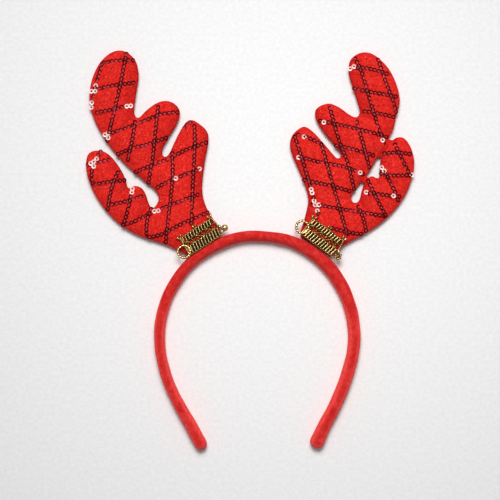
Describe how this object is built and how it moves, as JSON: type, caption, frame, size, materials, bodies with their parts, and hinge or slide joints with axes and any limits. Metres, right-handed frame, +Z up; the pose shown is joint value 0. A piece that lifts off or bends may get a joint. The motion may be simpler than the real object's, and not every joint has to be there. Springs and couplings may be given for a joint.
{
  "type": "antler_headband",
  "caption": "Red velvet hair band with two stuffed reindeer antlers, dark sequin rows sewn over them and cast openwork ornaments at their feet",
  "frame": {"origin": "centre of the headband's footprint, on the surface that it lies on", "axes": "+X to the right antler, +Y from the open ends of the band to the antler tips, +Z up from the surface"},
  "size_m": [0.2134, 0.2594, 0.0127],
  "materials": {
    "velvet": "cut pile, deep red",
    "plush": "short pile, bright red",
    "sequin": "metallised, dark maroon",
    "antique_gold": "cast, darkened in the recesses"
  },
  "bodies": {
    "root": {"headband": "velvet", "antler_left_front": "plush", "antler_left_back": "plush", "antler_right_front": "plush", "antler_right_back": "plush", "sequin_net_left": "sequin", "sequin_net_right": "sequin", "plaque_left": "antique_gold", "plaque_right": "antique_gold"}
  },
  "joints": []
}
